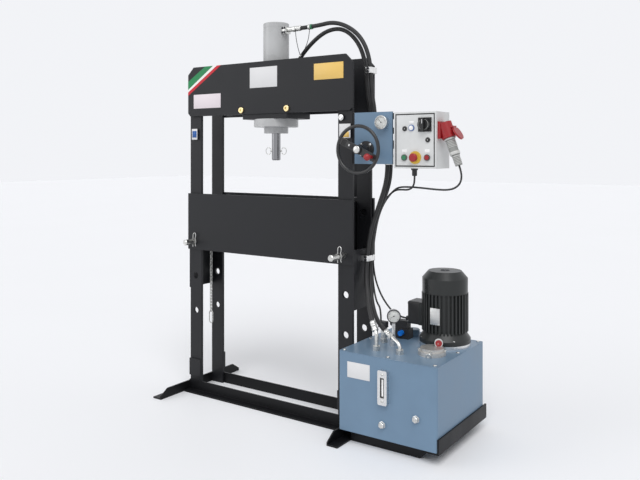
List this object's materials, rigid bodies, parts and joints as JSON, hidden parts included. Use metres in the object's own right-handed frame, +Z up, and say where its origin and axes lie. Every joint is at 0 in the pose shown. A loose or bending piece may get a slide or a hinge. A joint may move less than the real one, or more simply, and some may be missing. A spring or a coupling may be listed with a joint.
{
  "type": "hydraulic workshop press",
  "caption": "Black H-frame hydraulic workshop press with an overhead cylinder, pinned bed, handwheel valve, electric control box and a motor-driven oil tank beside it.",
  "frame": {"origin": "middle of the footprint on the floor, hoses and cables left out", "axes": "+X to the right of the person at the press, +Y to the back, +Z up"},
  "size_m": [1.7234, 0.66, 2.077],
  "materials": {
    "frame_paint": "satin black paint",
    "cylinder_paint": "smooth grey paint",
    "chrome": "polished",
    "steel": "turned, zinc plated",
    "blue_paint": "satin blue-grey paint",
    "valve_metal": "painted black",
    "box_paint": "fine textured pale grey",
    "black_plastic": "moulded",
    "grey_plastic": "moulded",
    "red_plastic": "moulded",
    "green_plastic": "moulded",
    "blue_plastic": "moulded",
    "motor_paint": "dark grey paint",
    "aluminium": "cast and turned",
    "hose_rubber": "wrapped hose cover",
    "cable_sheath": "smooth sheath"
  },
  "bodies": {
    "frame": {"head_plate_front": "frame_paint", "head_plate_rear": "frame_paint", "uprights_left": "frame_paint", "uprights_right": "frame_paint", "tie_plates": "frame_paint", "foot_left": "frame_paint", "foot_right": "frame_paint", "base_beams": "frame_paint", "bed_plate_front": "frame_paint", "bed_plate_rear": "frame_paint", "bed_spacers": "frame_paint", "saddle": "frame_paint", "barrel": "cylinder_paint", "cylinder_cap": "cylinder_paint", "flange": "cylinder_paint", "gland": "cylinder_paint", "valve_panel": "blue_paint", "panel_straps": "frame_paint", "steering_valve": "valve_metal", "gauges": "steel", "control_box": "box_paint", "box_gear": "box_paint", "socket_body": "red_plastic", "tank_shell": "blue_paint", "tank_lid": "blue_paint", "tank_supports": "frame_paint", "level_gauge": "aluminium", "bell_ring": "aluminium", "gear_pump": "aluminium", "motor_housing": "motor_paint", "fan_cowl": "motor_paint", "terminal_box": "black_plastic", "return_filter": "aluminium", "filler_cap": "blue_paint", "unit_valves": "valve_metal", "hose_fittings": "steel", "hose_down": "hose_rubber", "hose_up": "hose_rubber", "hose_pressure": "hose_rubber", "hose_return": "hose_rubber", "cable_control": "cable_sheath", "cable_motor": "cable_sheath", "power_plug": "grey_plastic"},
    "ram": {"piston": "steel", "rod": "chrome", "nose": "chrome"},
    "pin_left": {"bed_pin_left": "steel"},
    "pin_right": {"bed_pin_right": "steel"},
    "chain": {"chain": "steel"},
    "wheel": {"handwheel": "black_plastic"},
    "spinner": {"spinner": "red_plastic"},
    "door": {"door": "box_paint"},
    "main_switch": {"main_switch": "black_plastic"},
    "start_button": {"start_button": "green_plastic"},
    "stop_button": {"stop_button": "red_plastic"},
    "emergency_stop": {"emergency_stop": "red_plastic"},
    "socket_lid": {"socket_lid": "red_plastic"},
    "rotor": {"rotor": "motor_paint"},
    "relief_knob": {"relief_knob": "blue_plastic"}
  },
  "joints": [
    {"name": "ram_stroke", "type": "slide", "parent": "frame", "child": "ram", "axis": [0, 0, -1], "range_m": [-0.04, 0.16]},
    {"name": "pin_left_pull", "type": "slide", "parent": "frame", "child": "pin_left", "axis": [0, -1, 0], "range_m": [-0.008, 0.2]},
    {"name": "pin_right_pull", "type": "slide", "parent": "frame", "child": "pin_right", "axis": [0, -1, 0], "range_m": [-0.05, 0.2]},
    {"name": "chain_swing", "type": "hinge", "parent": "frame", "child": "chain", "pos_m": [-0.75073, 0.02, 0.8078], "axis": [1, 0, 0], "range_deg": [-5, 5]},
    {"name": "wheel_turn", "type": "hinge", "parent": "frame", "child": "wheel", "pos_m": [0.38027, -0.1775, 1.385], "axis": [0, -1, 0], "continuous": true},
    {"name": "spinner_turn", "type": "hinge", "parent": "wheel", "child": "spinner", "pos_m": [0.45731, -0.1775, 1.34908], "axis": [0, -1, 0], "continuous": true},
    {"name": "door_swing", "type": "hinge", "parent": "frame", "child": "door", "pos_m": [0.55877, -0.091, 1.3095], "axis": [0, 0, -1], "range_deg": [0, 90]},
    {"name": "main_switch_turn", "type": "hinge", "parent": "door", "child": "main_switch", "pos_m": [0.69627, -0.0975, 1.5], "axis": [0, -1, 0], "range_deg": [-90, 0]},
    {"name": "start_press", "type": "slide", "parent": "door", "child": "start_button", "axis": [0, 1, 0], "range_m": [0, 0.0035], "stiffness_N_per_m": 400},
    {"name": "stop_press", "type": "slide", "parent": "door", "child": "stop_button", "axis": [0, 1, 0], "range_m": [0, 0.0035], "stiffness_N_per_m": 400},
    {"name": "emergency_press", "type": "slide", "parent": "door", "child": "emergency_stop", "axis": [0, 1, 0], "range_m": [0, 0.004], "stiffness_N_per_m": 800},
    {"name": "socket_lid_lift", "type": "hinge", "parent": "frame", "child": "socket_lid", "pos_m": [0.81927, -0.05, 1.49], "axis": [0, -1, 0], "range_deg": [0, 70]},
    {"name": "motor_spin", "type": "hinge", "parent": "frame", "child": "rotor", "pos_m": [0.69227, 0.132, 0.45], "axis": [0, 0, 1], "continuous": true},
    {"name": "relief_turn", "type": "hinge", "parent": "frame", "child": "relief_knob", "pos_m": [0.47227, 0.1, 0.464], "axis": [0, -1, 0], "range_deg": [-360, 360]}
  ]
}
